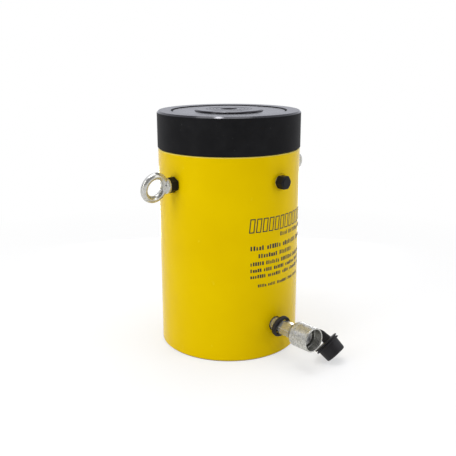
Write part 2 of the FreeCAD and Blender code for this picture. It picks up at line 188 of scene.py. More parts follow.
def addNode(tree, kind, inputs=None, **settings):
    # inputs may be plain values or sockets of other nodes
    node = tree.nodes.new(kind)
    for key, value in settings.items():
        setattr(node, key, value)
    for key, value in (inputs or {}).items():
        if isinstance(value, bpy.types.NodeSocket):
            tree.links.new(value, node.inputs[key])
        else:
            node.inputs[key].default_value = value
    return node


def newTree(name, inputs):
    tree = bpy.data.node_groups.new(name, "GeometryNodeTree")
    for label, kind, value in inputs:
        socket = tree.interface.new_socket(label, in_out="INPUT", socket_type="NodeSocket" + kind)
        if value is not None:
            socket.default_value = value
    tree.interface.new_socket("Geometry", in_out="OUTPUT", socket_type="NodeSocketGeometry")
    return tree, tree.nodes.new("NodeGroupInput").outputs, tree.nodes.new("NodeGroupOutput")


def grow(tree, values):
    # runs a geometry tree on an empty mesh and gives back the plain mesh
    holder = bpy.data.objects.new("holder", bpy.data.meshes.new("holder"))
    scene.collection.objects.link(holder)
    modifier = holder.modifiers.new("grow", "NODES")
    modifier.node_group = tree
    for item in tree.interface.items_tree:
        if item.item_type == "SOCKET" and item.in_out == "INPUT" and item.name in values:
            modifier[item.identifier] = values[item.name]
    graph = bpy.context.evaluated_depsgraph_get()
    data = bpy.data.meshes.new_from_object(holder.evaluated_get(graph), depsgraph=graph)
    old = holder.data
    holder.modifiers.clear()
    bpy.data.objects.remove(holder)
    bpy.data.meshes.remove(old)
    return data


def helixTree():
    # one trapezoid ridge wound right-handed round Z
    # side 1 puts its crest nearer the axis than Radius, and -1 further out
    tree, given, end = newTree("helixRidge", [
        ("Radius", "Float", 10.0), ("Pitch", "Float", 2.0), ("Turns", "Float", 5.0),
        ("Root Width", "Float", 1.4), ("Crest Width", "Float", 0.5), ("Depth", "Float", 1.0),
        ("Side", "Float", 1.0), ("Start", "Float", 0.0), ("Steps", "Int", 72), ("Fade", "Float", 0.4),
        ("Material", "Material", None)])
    rise = addNode(tree, "ShaderNodeMath", {0: given["Pitch"], 1: given["Turns"]}, operation="MULTIPLY")
    coil = addNode(tree, "GeometryNodeCurveSpiral", {
        "Resolution": given["Steps"], "Rotations": given["Turns"], "Start Radius": given["Radius"],
        "End Radius": given["Radius"], "Height": rise.outputs[0], "Reverse": True})
    upright = addNode(tree, "GeometryNodeSetCurveNormal", {"Curve": coil.outputs[0]}, mode="Z_UP")
    section = addNode(tree, "GeometryNodeCurvePrimitiveQuadrilateral", {
        "Bottom Width": given["Root Width"], "Top Width": given["Crest Width"], "Height": given["Depth"],
        "Offset": 0.0}, mode="TRAPEZOID")
    quarter = addNode(tree, "ShaderNodeMath", {0: given["Side"], 1: math.pi / 2}, operation="MULTIPLY")
    half = addNode(tree, "ShaderNodeMath", {0: given["Depth"], 1: -0.5}, operation="MULTIPLY")
    shift = addNode(tree, "ShaderNodeMath", {0: half.outputs[0], 1: given["Side"]}, operation="MULTIPLY")
    turn = addNode(tree, "ShaderNodeCombineXYZ", {"Z": quarter.outputs[0]})
    move = addNode(tree, "ShaderNodeCombineXYZ", {"X": shift.outputs[0]})
    profile = addNode(tree, "GeometryNodeTransform", {
        "Geometry": section.outputs[0], "Translation": move.outputs[0], "Rotation": turn.outputs[0]})
    along = addNode(tree, "GeometryNodeSplineParameter")
    rest = addNode(tree, "ShaderNodeMath", {0: 1.0, 1: along.outputs["Factor"]}, operation="SUBTRACT")
    near = addNode(tree, "ShaderNodeMath", {0: along.outputs["Factor"], 1: rest.outputs[0]},
                   operation="MINIMUM")
    turns = addNode(tree, "ShaderNodeMath", {0: near.outputs[0], 1: given["Turns"]}, operation="MULTIPLY")
    run = addNode(tree, "ShaderNodeMath", {0: turns.outputs[0], 1: given["Fade"]}, operation="DIVIDE")
    size = addNode(tree, "ShaderNodeClamp", {"Value": run.outputs[0], "Min": 0.02, "Max": 1.0})
    ridge = addNode(tree, "GeometryNodeCurveToMesh", {
        "Curve": upright.outputs[0], "Profile Curve": profile.outputs[0], "Scale": size.outputs[0],
        "Fill Caps": True})
    lift = addNode(tree, "ShaderNodeCombineXYZ", {"Z": given["Start"]})
    placed = addNode(tree, "GeometryNodeTransform", {
        "Geometry": ridge.outputs[0], "Translation": lift.outputs[0]})
    real = addNode(tree, "GeometryNodeRealizeInstances", {"Geometry": placed.outputs[0]})
    done = addNode(tree, "GeometryNodeSetMaterial", {
        "Geometry": real.outputs[0], "Material": given["Material"]})
    tree.links.new(done.outputs[0], end.inputs[0])
    return tree


def knurlTree():
    # low four-sided points in staggered rows round Z
    tree, given, end = newTree("knurl", [
        ("Radius", "Float", 14.0), ("Start", "Float", 0.0), ("Length", "Float", 10.0), ("Around", "Int", 60),
        ("Rows", "Int", 8), ("Width", "Float", 1.4), ("Height", "Float", 0.2), ("Sink", "Float", 0.03),
        ("Material", "Material", None)])
    gap = addNode(tree, "ShaderNodeMath", {0: math.tau, 1: given["Around"]}, operation="DIVIDE")
    wholeTurn = addNode(tree, "ShaderNodeMath", {0: math.tau, 1: gap.outputs[0]}, operation="SUBTRACT")
    grid = addNode(tree, "GeometryNodeMeshGrid", {
        "Size X": wholeTurn.outputs[0], "Size Y": given["Length"], "Vertices X": given["Around"],
        "Vertices Y": given["Rows"]})
    spot = addNode(tree, "ShaderNodeSeparateXYZ", {0: addNode(tree, "GeometryNodeInputPosition").outputs[0]})
    index = addNode(tree, "GeometryNodeInputIndex")
    odd = addNode(tree, "ShaderNodeMath", {0: index.outputs[0], 1: given["Rows"]}, operation="MODULO")
    twos = addNode(tree, "ShaderNodeMath", {0: odd.outputs[0], 1: 2.0}, operation="MODULO")
    stagger = addNode(tree, "ShaderNodeMath", {0: twos.outputs[0], 1: gap.outputs[0]}, operation="MULTIPLY")
    halfWay = addNode(tree, "ShaderNodeMath", {0: stagger.outputs[0], 1: 0.5}, operation="MULTIPLY")
    angle = addNode(tree, "ShaderNodeMath", {0: spot.outputs["X"], 1: halfWay.outputs[0]}, operation="ADD")
    cosine = addNode(tree, "ShaderNodeMath", {0: angle.outputs[0]}, operation="COSINE")
    sine = addNode(tree, "ShaderNodeMath", {0: angle.outputs[0]}, operation="SINE")
    out = addNode(tree, "ShaderNodeCombineXYZ", {"X": cosine.outputs[0], "Y": sine.outputs[0]})
    level = addNode(tree, "ShaderNodeMath", {0: given["Radius"], 1: given["Sink"]}, operation="SUBTRACT")
    wide = addNode(tree, "ShaderNodeVectorMath", {0: out.outputs[0]}, operation="SCALE")
    tree.links.new(level.outputs[0], wide.inputs["Scale"])
    middle = addNode(tree, "ShaderNodeMath", {0: given["Length"], 1: 0.5}, operation="MULTIPLY")
    base = addNode(tree, "ShaderNodeMath", {0: given["Start"], 1: middle.outputs[0]}, operation="ADD")
    tall = addNode(tree, "ShaderNodeMath", {0: spot.outputs["Y"], 1: base.outputs[0]}, operation="ADD")
    lift = addNode(tree, "ShaderNodeCombineXYZ", {"Z": tall.outputs[0]})
    place = addNode(tree, "ShaderNodeVectorMath", {0: wide.outputs[0], 1: lift.outputs[0]}, operation="ADD")
    facing = addNode(tree, "FunctionNodeAlignRotationToVector", {"Vector": out.outputs[0]}, axis="Z")
    upright = addNode(tree, "FunctionNodeAlignRotationToVector", {
        "Rotation": facing.outputs[0], "Vector": (0.0, 0.0, 1.0)}, axis="X", pivot_axis="Z")
    keep = addNode(tree, "GeometryNodeCaptureAttribute", {"Geometry": grid.outputs[0]})
    keep.capture_items.new("ROTATION", "facing")
    tree.links.new(upright.outputs[0], keep.inputs[1])
    bent = addNode(tree, "GeometryNodeSetPosition", {
        "Geometry": keep.outputs[0], "Position": place.outputs[0]})
    radius = addNode(tree, "ShaderNodeMath", {0: given["Width"], 1: 0.5}, operation="MULTIPLY")
    point = addNode(tree, "GeometryNodeMeshCone", {
        "Vertices": 4, "Side Segments": 1, "Radius Top": 0.0, "Radius Bottom": radius.outputs[0],
        "Depth": given["Height"]}, fill_type="NGON")
    studs = addNode(tree, "GeometryNodeInstanceOnPoints", {
        "Points": bent.outputs[0], "Instance": point.outputs[0], "Rotation": keep.outputs[1]})
    real = addNode(tree, "GeometryNodeRealizeInstances", {"Geometry": studs.outputs[0]})
    done = addNode(tree, "GeometryNodeSetMaterial", {
        "Geometry": real.outputs[0], "Material": given["Material"]})
    tree.links.new(done.outputs[0], end.inputs[0])
    return tree


def newMaterial(name, metallic=0.0, specular=0.5, tint=None):
    material = bpy.data.materials.new(name)
    material.use_nodes = True
    tree = material.node_tree
    shader = tree.nodes["Principled BSDF"]
    shader.inputs["Metallic"].default_value = metallic
    shader.inputs["Specular IOR Level"].default_value = specular
    if tint:
        shader.inputs["Specular Tint"].default_value = (*tint, 1)
    where = addNode(tree, "ShaderNodeTexCoord").outputs["Object"]
    return material, tree, shader, where


def noise(tree, where, scale, detail=3.0, roughness=0.5, stretch=None):
    if stretch:
        where = addNode(tree, "ShaderNodeMapping", {"Vector": where, "Scale": stretch}).outputs[0]
    return addNode(tree, "ShaderNodeTexNoise", {
        "Vector": where, "Scale": scale, "Detail": detail, "Roughness": roughness}).outputs["Fac"]


def ramp(tree, value, low, high, fromLow=0.0, fromHigh=1.0):
    # value mapped from a band onto low..high
    return addNode(tree, "ShaderNodeMapRange", {
        "Value": value, "From Min": fromLow, "From Max": fromHigh, "To Min": low, "To Max": high}).outputs[0]


def blendColour(tree, share, one, two):
    mix = addNode(tree, "ShaderNodeMix", data_type="RGBA")
    for key, value in ((0, share), (6, one), (7, two)):
        if isinstance(value, bpy.types.NodeSocket):
            tree.links.new(value, mix.inputs[key])
        elif key == 0:
            mix.inputs[0].default_value = value
        else:
            mix.inputs[key].default_value = (*value, 1)
    return mix.outputs[2]


def bump(tree, shader, height, strength, distance):
    node = addNode(tree, "ShaderNodeBump", {"Height": height, "Strength": strength, "Distance": distance})
    tree.links.new(node.outputs[0], shader.inputs["Normal"])


def radiusOf(tree, where):
    flat = addNode(tree, "ShaderNodeVectorMath", {0: where, 1: (1.0, 1.0, 0.0)}, operation="MULTIPLY")
    return addNode(tree, "ShaderNodeVectorMath", {0: flat.outputs[0]}, operation="LENGTH").outputs["Value"]


def enamel():
    look = {"colour": (0.74, 0.515, 0.0), "deep": (0.68, 0.455, 0.0), "scuff": (0.80, 0.62, 0.04),
            "edge": (0.13, 0.065, 0.01), "rim": (0.90, 0.74, 0.16)}
    material, tree, shader, where = newMaterial("yellowEnamel", specular=0.09, tint=(1.0, 0.8, 0.05))
    cloud = ramp(tree, noise(tree, where, 14, 2), 0, 0.55, 0.35, 0.7)
    shade = blendColour(tree, cloud, look["colour"], look["deep"])
    rub = ramp(tree, noise(tree, where, 130, 6, 0.62, (1, 1, 0.55)), 0, 0.5, 0.66, 0.76)
    shade = blendColour(tree, rub, shade, look["scuff"])
    height = addNode(tree, "ShaderNodeSeparateXYZ", {0: where}).outputs["Z"]
    # darker brown towards the bottom edge: full below 0.6 mm, fading out by 2.2 mm
    foot = ramp(tree, height, 0.85, 0.0, 0.0006, 0.0022)
    shade = blendColour(tree, foot, shade, look["edge"])
    # painted highlight: the top half millimetre of the barrel turns paler yellow, standing in for the glint on
    # its rounded rim
    top = ramp(tree, height, 0.0, 0.8, 0.2407, 0.2412)
    shade = blendColour(tree, top, shade, look["rim"])
    tree.links.new(shade, shader.inputs["Base Color"])
    tree.links.new(ramp(tree, noise(tree, where, 60, 4), 0.14, 0.24), shader.inputs["Roughness"])
    bump(tree, shader, noise(tree, where, 620, 2), 0.10, 0.0001)
    return material


def blackOxide(name, colour=(0.0055, 0.0055, 0.006), rough=(0.28, 0.38), rings=True, specular=0.17):
    material, tree, shader, where = newMaterial(name, specular=specular, tint=(0.94, 0.93, 1.0))
    cloud = noise(tree, where, 45, 5, 0.6)
    pale = tuple(c * 1.9 for c in colour)
    shade = blendColour(tree, ramp(tree, cloud, 0, 0.6, 0.4, 0.7), colour, pale)
    specks = ramp(tree, noise(tree, where, 420, 2, 0.4), 0, 0.8, 0.74, 0.78)
    shade = blendColour(tree, specks, shade, (0.06, 0.06, 0.06))
    tree.links.new(shade, shader.inputs["Base Color"])
    tree.links.new(ramp(tree, cloud, rough[0], rough[1]), shader.inputs["Roughness"])
    if rings:
        # turned marks: noise read along the radius and the height
        split = addNode(tree, "ShaderNodeSeparateXYZ", {0: where})
        spot = addNode(tree, "ShaderNodeCombineXYZ", {
            "X": radiusOf(tree, where), "Y": 0.0, "Z": split.outputs["Z"]}).outputs[0]
        bump(tree, shader, noise(tree, spot, 1500, 2), 0.10, 0.00015)
    else:
        bump(tree, shader, noise(tree, where, 900, 3), 0.12, 0.00015)
    return material


def zincPlate(name, colour, olive, rough, mottle, grain):
    material, tree, shader, where = newMaterial(name, metallic=0.72)
    patch = noise(tree, where, 260, 4, 0.6)
    shade = blendColour(tree, ramp(tree, patch, 0, 0.9, 0.45, 0.62), colour, olive)
    dull = ramp(tree, noise(tree, where, 620, 3, 0.6), 0, mottle, 0.48, 0.62)
    shade = blendColour(tree, dull, shade, tuple(c * 0.42 for c in colour))
    tree.links.new(shade, shader.inputs["Base Color"])
    tree.links.new(ramp(tree, patch, rough[0], rough[1], 0.3, 0.7), shader.inputs["Roughness"])
    bump(tree, shader, noise(tree, where, 700, 4, 0.6), grain, 0.0003)
    return material


def plainSteel(name, colour, rough=(0.22, 0.36), metallic=1.0):
    material, tree, shader, where = newMaterial(name, metallic=metallic)
    cloud = noise(tree, where, 160, 4)
    shade = blendColour(tree, cloud, colour, tuple(c * 0.78 for c in colour))
    tree.links.new(shade, shader.inputs["Base Color"])
    tree.links.new(ramp(tree, cloud, rough[0], rough[1]), shader.inputs["Roughness"])
    bump(tree, shader, noise(tree, where, 1400, 2, 0.5, (1, 1, 3)), 0.15, 0.0001)
    return material


def softPolymer(name, colour, rough=(0.5, 0.66), grain=1100, strength=0.25, specular=0.4):
    material, tree, shader, where = newMaterial(name, specular=specular)
    cloud = noise(tree, where, 120, 4, 0.6)
    shade = blendColour(tree, cloud, colour, tuple(c * 1.35 + 0.002 for c in colour))
    tree.links.new(shade, shader.inputs["Base Color"])
    tree.links.new(ramp(tree, cloud, rough[0], rough[1]), shader.inputs["Roughness"])
    bump(tree, shader, noise(tree, where, grain, 3), strength, 0.0001)
    return material


paint = enamel()
boredSteel = plainSteel("boredSteel", (0.42, 0.41, 0.40), (0.28, 0.42))
nutBlack = blackOxide("nutOxide", (0.0085, 0.0085, 0.009), (0.46, 0.58), specular=0.05)
nutFace = blackOxide("nutFaceOxide", (0.008, 0.008, 0.009), (0.20, 0.28), specular=0.35)
nutEdge = blackOxide("nutEdgeOxide", (0.008, 0.008, 0.009), (0.12, 0.16), rings=False, specular=0.4)
ramBlack = blackOxide("ramOxide", (0.008, 0.008, 0.009), (0.19, 0.27), specular=0.5)
saddleBlack = blackOxide("saddleOxide", (0.008, 0.008, 0.009), (0.19, 0.28), specular=0.45)
hexBlack = blackOxide("hexOxide", (0.005, 0.005, 0.005), (0.30, 0.45), rings=False)
zinc = zincPlate("zincPlate", (0.56, 0.555, 0.53), (0.44, 0.435, 0.37), (0.16, 0.28), 0.2, 0.02)
collarZinc = zincPlate("collarZinc", (0.60, 0.595, 0.56), (0.44, 0.435, 0.39), (0.24, 0.42), 0.8, 0.2)
springSteel = plainSteel("springSteel", (0.46, 0.46, 0.47))
bronze = plainSteel("bearingBronze", (0.48, 0.29, 0.12), (0.32, 0.48))
rubber = softPolymer("sealRubber", (0.012, 0.012, 0.013))
plugRubber = softPolymer("plugRubber", (0.013, 0.012, 0.0135), (0.44, 0.58), 1500, 0.3, 0.22)
polyurethane = softPolymer("polyurethane", (0.03, 0.06, 0.20), (0.35, 0.5), 900, 0.1)
whitePlastic = softPolymer("whitePlastic", (0.70, 0.70, 0.66), (0.35, 0.5), 900, 0.1)
printBlack = softPolymer("printInk", (0.010, 0.009, 0.008), (0.40, 0.55), 700, 0.05)
print("materials made")

helix = helixTree()
knurl = knurlTree()


def ridge(radius, pitch, turns, root, crest, depth, start, side=1, steps=72, fade=0.4):
    # known fault: each caller's side is the wrong way round, so every ridge lies inside its metal
    return grow(helix, {
        "Radius": radius, "Pitch": pitch, "Turns": turns, "Root Width": root, "Crest Width": crest,
        "Depth": depth, "Start": start, "Side": float(side), "Steps": steps, "Fade": fade,
        "Material": nutBlack})


# The barrel: painted cup, with its bore, wiper groove, spot faces and ports.
barrel = {"outer": 85.0, "bore": 67.5, "base": 32.0, "top": 242.0, "segments": 512, "soft": 0.3,
          "eyeAzimuth": -47.3, "eyeHeight": 207.0, "plugAzimuth": 42.7, "plugHeight": 211.0,
          "portAzimuth": 40.0, "portHeight": 40.0, "spot": 84.4, "spotRadius": 10,
          "grooveRadius": 72.6, "grooveLow": 233.4, "grooveHigh": 239.6}


def makeBarrel(b):
    r, bore, top = b["outer"], b["bore"], b["top"]
    outline = softened([
        (0, 0), (r - 1.5, 0, 0.8), (r, 1.5, 0.8), (r, top - 1, 0.5), (r - 1, top, 0.4), (bore + 1.2, top),
        (bore, top - 1.2), (bore, b["grooveHigh"]), (b["grooveRadius"], b["grooveHigh"]),
        (b["grooveRadius"], b["grooveLow"]), (bore, b["grooveLow"]), (bore, b["base"], 1.0),
        (0, b["base"])], b["soft"])
    shell = looseObject("barrel", lathe(outline, b["segments"]), Matrix())
    sides = [sideFrame(b["eyeAzimuth"], b["eyeHeight"]), sideFrame(b["eyeAzimuth"] + 180, b["eyeHeight"]),
             sideFrame(b["plugAzimuth"], b["plugHeight"]), sideFrame(b["portAzimuth"], b["portHeight"])]
    spot, beyond = b["spot"], r + 1
    face = [(b["spotRadius"], spot), (b["spotRadius"], beyond), (0, beyond)]
    eyeHole = [(0, 71), (4.1, 71), (4.1, spot)] + face
    overflow = [(0, 66.5), (2, 66.5), (2, 73.4), (5.1, 73.4), (5.1, spot)] + face
    port = [(0, 66.5), (4, 66.5), (4, 71), (9.1, 71), (9.1, beyond), (0, beyond)]
    cutters = [looseObject("cutter", lathe(hole, 96), side)
               for side, hole in zip(sides, (eyeHole, eyeHole, overflow, port))]
    for cutter in cutters:
        cut = shell.modifiers.new("cut", "BOOLEAN")
        cut.object = cutter
        cut.solver = "EXACT"
    settle(shell)
    for cutter in cutters:
        bpy.data.objects.remove(cutter)
    piece = finishPiece(shell, [paint, boredSteel], "cylinder", ["cylinder_body"])
    data = piece.data
    normals = [Vector(corner.vector) for corner in data.corner_normals]
    for face in data.polygons:
        away = math.hypot(face.center.x, face.center.y)
        inside = away < (r - 1) * mm and 1 * mm < face.center.z and face.center.z < (top - 0.05) * mm
        face.material_index = 1 if inside else 0
        if abs(face.normal.z) < 0.01 and away > (r - 0.05) * mm:
            for corner in face.loop_indices:
                spotAt = data.vertices[data.loops[corner].vertex_index].co
                normals[corner] = Vector((spotAt.x, spotAt.y, 0)).normalized()
    data.normals_split_custom_set(normals)
    return piece


makeBarrel(barrel)
print("barrel made")

# Print block: plain bars in place of the maker's words, a hair proud of the paint.
printBlock = {"radius": 85.0, "proud": 0.05, "seed": 7, "bigFrom": 15.2, "bigTo": 96.0, "bigLow": 155.6,
              "bigHigh": 172.1, "bigWide": 6.4, "bigGap": 1.9, "bigLine": 1.25, "lean": 1.7,
              "rows": [(44, 96, 147.6, 152.4, 2.2), (16.5, 92, 134.8, 140.2, 3.6),
                       (23.2, 60, 125.4, 130.4, 3.4), (16.6, 86, 116.6, 121.2, 2.9),
                       (16.6, 84, 108.8, 113.0, 2.9), (16.6, 86, 101.4, 105.6, 2.9),
                       (23, 74, 90.2, 93.8, 2.3)]}


def makePrint(p):
    shape = bmesh.new()
    outer, inner = p["radius"] + p["proud"], p["radius"] - 0.05

    def patch(arcFrom, arcTo, low, high, lean=0.0):
        # arcs in mm along the paint; lean shifts the top to the right
        steps = max(1, math.ceil((arcTo - arcFrom) / 0.8))
        rows = []
        for r, z, shift in ((outer, low, 0), (outer, high, lean), (inner, high, lean), (inner, low, 0)):
            row = []
            for k in range(steps + 1):
                a = (arcFrom + shift + (arcTo - arcFrom) * k / steps) / p["radius"]
                row.append(shape.verts.new((r * math.sin(a), -r * math.cos(a), z)))
            rows.append(row)
        for one, two in zip(rows, rows[1:] + rows[:1]):
            for k in range(steps):
                shape.faces.new([one[k], one[k + 1], two[k + 1], two[k]])
        shape.faces.new([row[0] for row in rows])
        shape.faces.new([row[-1] for row in reversed(rows)])

    arc = math.radians(p["bigFrom"]) * p["radius"]
    low, high, line, lean = p["bigLow"], p["bigHigh"], p["bigLine"], p["lean"]
    tip = lean * line / (high - low)
    while arc < math.radians(p["bigTo"]) * p["radius"]:
        # one slanted frame: two uprights with a bar across each end
        end = arc + p["bigWide"]
        patch(arc, arc + line, low, high, lean)
        patch(end - line, end, low, high, lean)
        patch(arc + line, end - line, low, low + line, tip)
        patch(arc + line + lean - tip, end - line + lean - tip, high - line, high, tip)
        arc = end + p["bigGap"]
    dice = random.Random(p["seed"])
    for azimuthFrom, azimuthTo, low, high, wide in p["rows"]:
        arc, last = (math.radians(a) * p["radius"] for a in (azimuthFrom, azimuthTo))
        left = dice.randint(4, 8)
        while arc < last:
            tall = (high - low) * dice.choice((1.0, 1.0, 0.8))
            patch(arc, min(arc + wide * dice.uniform(0.5, 0.8), last), low, low + tall)
            left -= 1
            arc += wide if left else wide * 1.9
            left = left or dice.randint(4, 8)
    bmesh.ops.recalc_face_normals(shape, faces=shape.faces)
    return makePiece("printBars", shape, printBlack, "cylinder", sharp=40)


makePrint(printBlock)

# The lock nut and its thread ridge.
lockNut = {"outer": 85.5, "root": 68.0, "low": 242.0, "high": 286.0, "pitch": 6.0, "threadLow": 244.5,
           "turns": 5.8}


def makeNut(n):
    out, root, low, high = n["outer"], n["root"], n["low"], n["high"]
    body = lathe(softened([
        (root + 1.2, low), (out - 1.5, low, 0.5), (out, low + 1.5, 0.5), (out, high - 2.0, 0.5),
        (out - 2.0, high, 0.5), (root + 1.2, high, 0.25), (root, high - 1.2, 0.25), (root, low + 1.2)],
        0.3), 384)
    thread = ridge(root + 0.02, n["pitch"], n["turns"], 3.7, 2.0, 3.3, n["threadLow"], side=-1, steps=96)
    piece = makePiece("lockNut", joined(body, thread), [nutBlack, nutFace, nutEdge], "nut",
                      ["lock_nut"])
    for face in piece.data.polygons:
        away = math.hypot(face.center.x, face.center.y)
        outside = face.center.z > (high - 3) * mm and away > (root + 1) * mm
        face.material_index = 0 if not outside or face.normal.z < 0.5 else 1 if face.normal.z > 0.9 else 2
    return piece


makeNut(lockNut)

# The ram: plain head with its grooves, the core of the thread, its ridge and the saddle's seat.
ram = {"outer": 67.4, "core": 64.2, "foot": 32.0, "top": 285.0, "pitch": 6.0, "threadLow": 87.5,
       "threadHigh": 281.0, "phase": 0.5}


def makeRam(m):
    out, core, foot, top = m["outer"], m["core"], m["foot"], m["top"]
    body = lathe(softened([
        (0, foot), (out - 5.4, foot, 0.8), (out - 5.4, foot + 15), (out - 1.5, foot + 15), (out, foot + 16.5),
        (out, 51), (out - 3.1, 51), (out - 3.1, 56), (out, 56),
        (out, 58.5), (out - 6.1, 58.5), (out - 6.1, 68.7), (out, 68.7),
        (out, 71.2), (out - 3.1, 71.2), (out - 3.1, 83.2), (out, 83.2),
        (out, 84.8), (core, 87.4, 0.6), (core, 279.4, 0.6), (out, 281.4),
        (out, top - 1.0, 0.3), (out - 1.0, top, 0.3),
        (40.8, top), (40.8, 278), (23.6, 278), (22.1, 276.5), (22.1, 255.7), (0, 255.7)], 0.2), 384)
    start = m["threadLow"] + m["pitch"] * m["phase"]
    turns = (m["threadHigh"] - start) / m["pitch"]
    thread = ridge(core - 0.02, m["pitch"], turns, 3.7, 2.0, 3.2, start, steps=96, fade=0.3)
    return makePiece("ram", joined(body, thread), ramBlack, "ram", ["plunger"])


makeRam(ram)

# The saddle: load cap with turned V grooves and a centre recess.
saddle = {"outer": 40.5, "top": 287.0, "rings": [27.0, 23.0, 19.0, 15.0], "ringHalf": 0.8, "ringDeep": 0.8,
          "centre": 10.5, "centreDeep": 4.0}


def makeSaddle(s):
    top = s["top"]
    outline = [(0, 256), (20.5, 256), (22, 257.5), (22, 265.25), (20.25, 265.25), (20.25, 268.75),
               (22, 268.75), (22, 278), (s["outer"], 278), (s["outer"], top - 1.0, 0.4),
               (s["outer"] - 1.0, top, 0.4)]
    for r in s["rings"]:
        outline += [(r + s["ringHalf"], top, 0.15), (r, top - s["ringDeep"], 0.1),
                    (r - s["ringHalf"], top, 0.15)]
    floor = top - s["centreDeep"]
    outline += [(s["centre"], top, 0.3), (s["centre"] * 0.8, floor, 0.3), (0, floor)]
    shape = lathe(softened(outline, 0.2), 256)
    return makePiece("saddleCap", shape, saddleBlack, "ram", ["saddle"])


makeSaddle(saddle)
print("nut, ram and saddle made")

# Lifting eye bolts: ring, flare and seat melted together as a forging, on a shank with its ridge.
eyeBolt = {"ring": 14.0, "section": 4.0, "seat": 94.7, "seatRadius": 9.0, "seatHigh": 3.5, "voxel": 0.4,
           "smooth": 5, "leftTurn": -13.0, "rearTurn": 24.0}


def makeEyeBolt(name, e, place, turn, stands):
    middle = e["seat"] + e["ring"] + e["section"]
    angles = [math.tau * i / 32 for i in range(32)]
    ring = lathe([(e["ring"] + e["section"] * math.cos(a), e["section"] * math.sin(a)) for a in angles], 128)
    upright = Matrix.Translation((0, 0, middle)) @ Matrix.Rotation(math.pi / 2, 4, "X")
    bmesh.ops.transform(ring, matrix=upright, verts=ring.verts)
    seat, wide, thin = e["seat"], e["seatRadius"], e["section"]
    flare = lathe(softened([
        (0, seat), (wide, seat, 0.5), (wide, seat + e["seatHigh"], 0.5),
        (thin + 2.2, seat + e["seatHigh"] + 1.6, 1.5),
        (thin + 0.4, seat + thin * 1.6), (0, seat + thin * 1.6)], 0.2), 96)
    thing = looseObject(name, joined(ring, flare))
    melt = thing.modifiers.new("melt", "REMESH")
    melt.mode = "VOXEL"
    melt.voxel_size = e["voxel"]
    calm = thing.modifiers.new("calm", "SMOOTH")
    calm.factor = 0.5
    calm.iterations = e["smooth"]
    settle(thing)
    head = thing.data.copy()
    bpy.data.objects.remove(thing)
    shank = lathe(softened([(0, 72), (3, 72), (3.4, 72.9), (3.4, seat + 1.5), (0, seat + 1.5)], 0.2), 48)
    thread = ridge(3.38, 1.25, 16.0, 1.1, 0.3, 0.6, 73.2, steps=32)
    shape = joined(head, shank, thread)
    bmesh.ops.transform(shape, matrix=Matrix.Rotation(math.radians(turn), 4, "Z"), verts=shape.verts)
    return makePiece(name, shape, zinc, "cylinder", stands, place, sharp=50)


eyeLeft = sideFrame(barrel["eyeAzimuth"], barrel["eyeHeight"])
eyeRear = sideFrame(barrel["eyeAzimuth"] + 180, barrel["eyeHeight"])
makeEyeBolt("eyeBoltLeft", eyeBolt, eyeLeft, eyeBolt["leftTurn"], ["eye_bolt_left"])
makeEyeBolt("eyeBoltRear", eyeBolt, eyeRear, eyeBolt["rearTurn"], ["eye_bolt_rear"])

eyeNut = {"size": 16, "low": 84.4, "high": 94.7, "turn": 30, "hole": 4.1}
for name, place, node in (("eyeNutLeft", eyeLeft, "eye_nut_left"), ("eyeNutRear", eyeRear, "eye_nut_rear")):
    shape = hexHead(eyeNut["size"], eyeNut["low"], eyeNut["high"], eyeNut["turn"], eyeNut["hole"])
    makePiece(name, shape, hexBlack, "cylinder", [node], place)
print("eye bolts made")

# Overflow plug: hex with a low turned crown.
plugPlace = sideFrame(barrel["plugAzimuth"], barrel["plugHeight"])
makePiece("overflowPlug", joined(
    hexHead(14.6, 85.4, 94.7, 0),
    lathe(softened([(0, 94.2), (5.5, 94.2), (5.5, 95.3, 0.2), (0, 95.3)], 0.1), 96),
    lathe(softened([(0, 74.4), (4.2, 74.4), (4.2, 85.6), (0, 85.6)], 0.2), 64),
    ridge(4.18, 1.5, 6.6, 1.3, 0.35, 0.8, 74.8, steps=40)),
    hexBlack, "cylinder", ["overflow_plug"], plugPlace)

# Coupler half: threaded shank, neck, hex and the bored nose that the collar turns on.
portPlace = sideFrame(barrel["portAzimuth"], barrel["portHeight"])
coupler = {"core": 8.15, "neck": 7.7, "hex": 16.0, "hexLow": 98.2, "hexHigh": 117.2, "hexTurn": -16.0,
           "journal": 10.0, "nose": 9.5, "bore": 3.5, "chamber": 6.5}


def makeCoupler(c):
    core = lathe(softened([
        (c["bore"], 72), (c["core"] - 0.6, 72), (c["core"], 73), (c["core"], 92.0),
        (c["neck"], 92.6), (c["neck"], 116.9),
        (c["journal"], 116.9), (c["journal"], 121.8), (9.1, 121.8), (9.1, 123.6), (c["journal"], 123.6),
        (c["journal"], 123.9), (c["nose"], 124.4),
        (c["nose"], 132.4), (8.1, 132.4), (8.1, 134.4), (c["nose"], 134.4),
        (c["nose"], 136.2, 0.2), (c["nose"] - 0.8, 137, 0.2), (c["chamber"], 137, 0.2), (c["chamber"], 112),
        (c["bore"], 112)], 0.12), 160)
    thread = ridge(c["core"] - 0.02, 1.5, 12.2, 1.35, 0.3, 0.85, 73.4, steps=64)
    hexagon = hexHead(c["hex"], c["hexLow"], c["hexHigh"], c["hexTurn"], 7.0)
    return makePiece("couplerBody", joined(core, thread, hexagon), zinc, "cylinder",
                     ["coupler_body"], portPlace)


makeCoupler(coupler)
makePiece("valveSeat", lathe(softened([
    (5.6, 131), (6.4, 131), (6.4, 137), (4.9, 137, 0.2), (4.3, 136.4, 0.2), (4.3, 133.7)], 0.08), 96),
    springSteel, "cylinder", ["valve_seat"], portPlace)
poppetTip = 138.0
makePiece("valvePoppet", lathe(softened([
    (0, 116.5), (2.1, 116.5), (2.5, 116.9), (2.5, 128.8), (5.6, 128.8), (5.6, 129.4), (4.9, 129.4), (4.9, 130.9),
    (4.8, 130.9), (4.8, 130.85), (3.8, 133.1), (3.8, poppetTip - 0.5, 0.3), (3.3, poppetTip, 0.3),
    (0, poppetTip)], 0.05), 96),
    springSteel, "poppet", ["valve_poppet"], portPlace)

